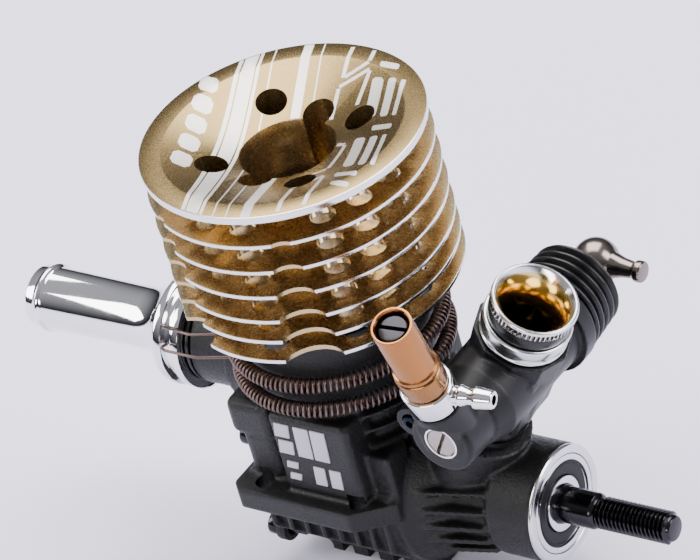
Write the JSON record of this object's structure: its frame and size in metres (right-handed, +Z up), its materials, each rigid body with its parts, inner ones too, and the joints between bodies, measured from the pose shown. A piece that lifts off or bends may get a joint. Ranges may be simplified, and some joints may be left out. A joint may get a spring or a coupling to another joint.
{
  "type": "model glow engine",
  "caption": "Rear-exhaust two-stroke glow engine with a finned gold cooling head, slide carburettor, ball-bearing crankshaft and a sprung exhaust header.",
  "frame": {"origin": "on the flat base of the crankcase, under the cylinder axis", "axes": "+X to the crankshaft's output end, +Z up the cylinder axis, -Y to the side with the mixture screw"},
  "size_m": [0.14, 0.072, 0.096],
  "materials": {
    "cast_black": "satin black thermal coat on a rough die casting",
    "gold_anodised": "champagne gold anodised, with bright machined fin rims",
    "bright_aluminium": "bright turned",
    "polished_aluminium": "mirror polished",
    "black_steel": "black oxide, ground",
    "bearing_steel": "ground and polished",
    "nickel_steel": "dark nickel, polished",
    "spring_steel": "dark bronze wire",
    "brass": "turned",
    "copper_anodised": "rose gold anodised, turned",
    "copper_sheet": "soft sheet",
    "rubber": "matt moulded",
    "composite": "satin moulded, fibre filled"
  },
  "bodies": {
    "engine_block": {"backplate": "cast_black", "backplate_screw_1": "black_steel", "backplate_screw_2": "black_steel", "backplate_screw_3": "black_steel", "backplate_screw_4": "black_steel", "carb_base_seal": "rubber", "carb_body": "composite", "carb_clamp_screw": "black_steel", "cooling_head": "gold_anodised", "crankcase": "cast_black", "cylinder_liner": "bearing_steel", "dust_boot": "rubber", "exhaust_gasket": "rubber", "exhaust_header": "polished_aluminium", "exhaust_spring_lower": "spring_steel", "exhaust_spring_upper": "spring_steel", "front_bearing_outer_race": "bearing_steel", "front_bearing_seal": "rubber", "fuel_banjo": "polished_aluminium", "glow_plug": "nickel_steel", "glow_plug_washer": "copper_sheet", "head_bolt_1": "black_steel", "head_bolt_2": "black_steel", "head_bolt_3": "black_steel", "head_bolt_4": "black_steel", "head_button": "brass", "head_gasket": "copper_sheet", "needle_guard": "copper_anodised", "needle_housing": "copper_anodised", "rear_bearing_outer_race": "bearing_steel", "venturi_collar": "bright_aluminium", "venturi_oring": "rubber", "venturi_ring": "bright_aluminium"},
    "crank": {"crankshaft": "black_steel", "rear_bearing_inner_race": "bearing_steel", "front_bearing_inner_race": "bearing_steel"},
    "rear_ball_cage": {"rear_bearing_balls": "bearing_steel"},
    "front_ball_cage": {"front_bearing_balls": "bearing_steel"},
    "piston_assembly": {"piston": "bright_aluminium", "wrist_pin": "bearing_steel", "wrist_pin_clip_front": "spring_steel", "wrist_pin_clip_rear": "spring_steel"},
    "rod_assembly": {"connecting_rod": "bright_aluminium", "big_end_bush": "brass"},
    "throttle_slide_body": {"throttle_barrel": "bright_aluminium", "throttle_ball": "nickel_steel"},
    "main_needle_body": {"main_needle": "black_steel"},
    "mixture_screw_body": {"mixture_screw": "black_steel"},
    "idle_screw_body": {"idle_stop_screw": "black_steel"}
  },
  "joints": [
    {"name": "crank_spin", "type": "hinge", "parent": "engine_block", "child": "crank", "pos_m": [0, 0, 0.0175], "axis": [1, 0, 0], "continuous": true},
    {"name": "rear_cage_spin", "type": "hinge", "parent": "engine_block", "child": "rear_ball_cage", "pos_m": [0.0141, 0, 0.0175], "axis": [1, 0, 0], "continuous": true},
    {"name": "front_cage_spin", "type": "hinge", "parent": "engine_block", "child": "front_ball_cage", "pos_m": [0.0389, 0, 0.0175], "axis": [1, 0, 0], "continuous": true},
    {"name": "piston_stroke", "type": "slide", "parent": "engine_block", "child": "piston_assembly", "axis": [0, 0, 1], "range_m": [0, 0.0168]},
    {"name": "rod_swing", "type": "hinge", "parent": "piston_assembly", "child": "rod_assembly", "pos_m": [0, 0, 0.0381], "axis": [1, 0, 0], "range_deg": [-8.5, 8.5]},
    {"name": "throttle_slide", "type": "slide", "parent": "engine_block", "child": "throttle_slide_body", "axis": [0, -1, 0], "range_m": [0, 0.0075], "deforming": ["dust_boot"]},
    {"name": "main_needle_turn", "type": "hinge", "parent": "engine_block", "child": "main_needle_body", "pos_m": [0.0381, -0.0201, 0.0504], "axis": [0.1101, -0.3442, 0.9324], "range_deg": [-720, 720]},
    {"name": "mixture_screw_turn", "type": "hinge", "parent": "engine_block", "child": "mixture_screw_body", "pos_m": [0.0381, -0.02, 0.0504], "axis": [0, -1, 0], "range_deg": [-540, 540]},
    {"name": "idle_screw_turn", "type": "hinge", "parent": "engine_block", "child": "idle_screw_body", "pos_m": [0.0299, -0.02, 0.051], "axis": [0, -1, 0], "range_deg": [-540, 540]}
  ],
  "couplings": [
    {"joint": "rear_cage_spin", "follows": "crank_spin", "ratio": 0.405},
    {"joint": "front_cage_spin", "follows": "crank_spin", "ratio": 0.387}
  ]
}
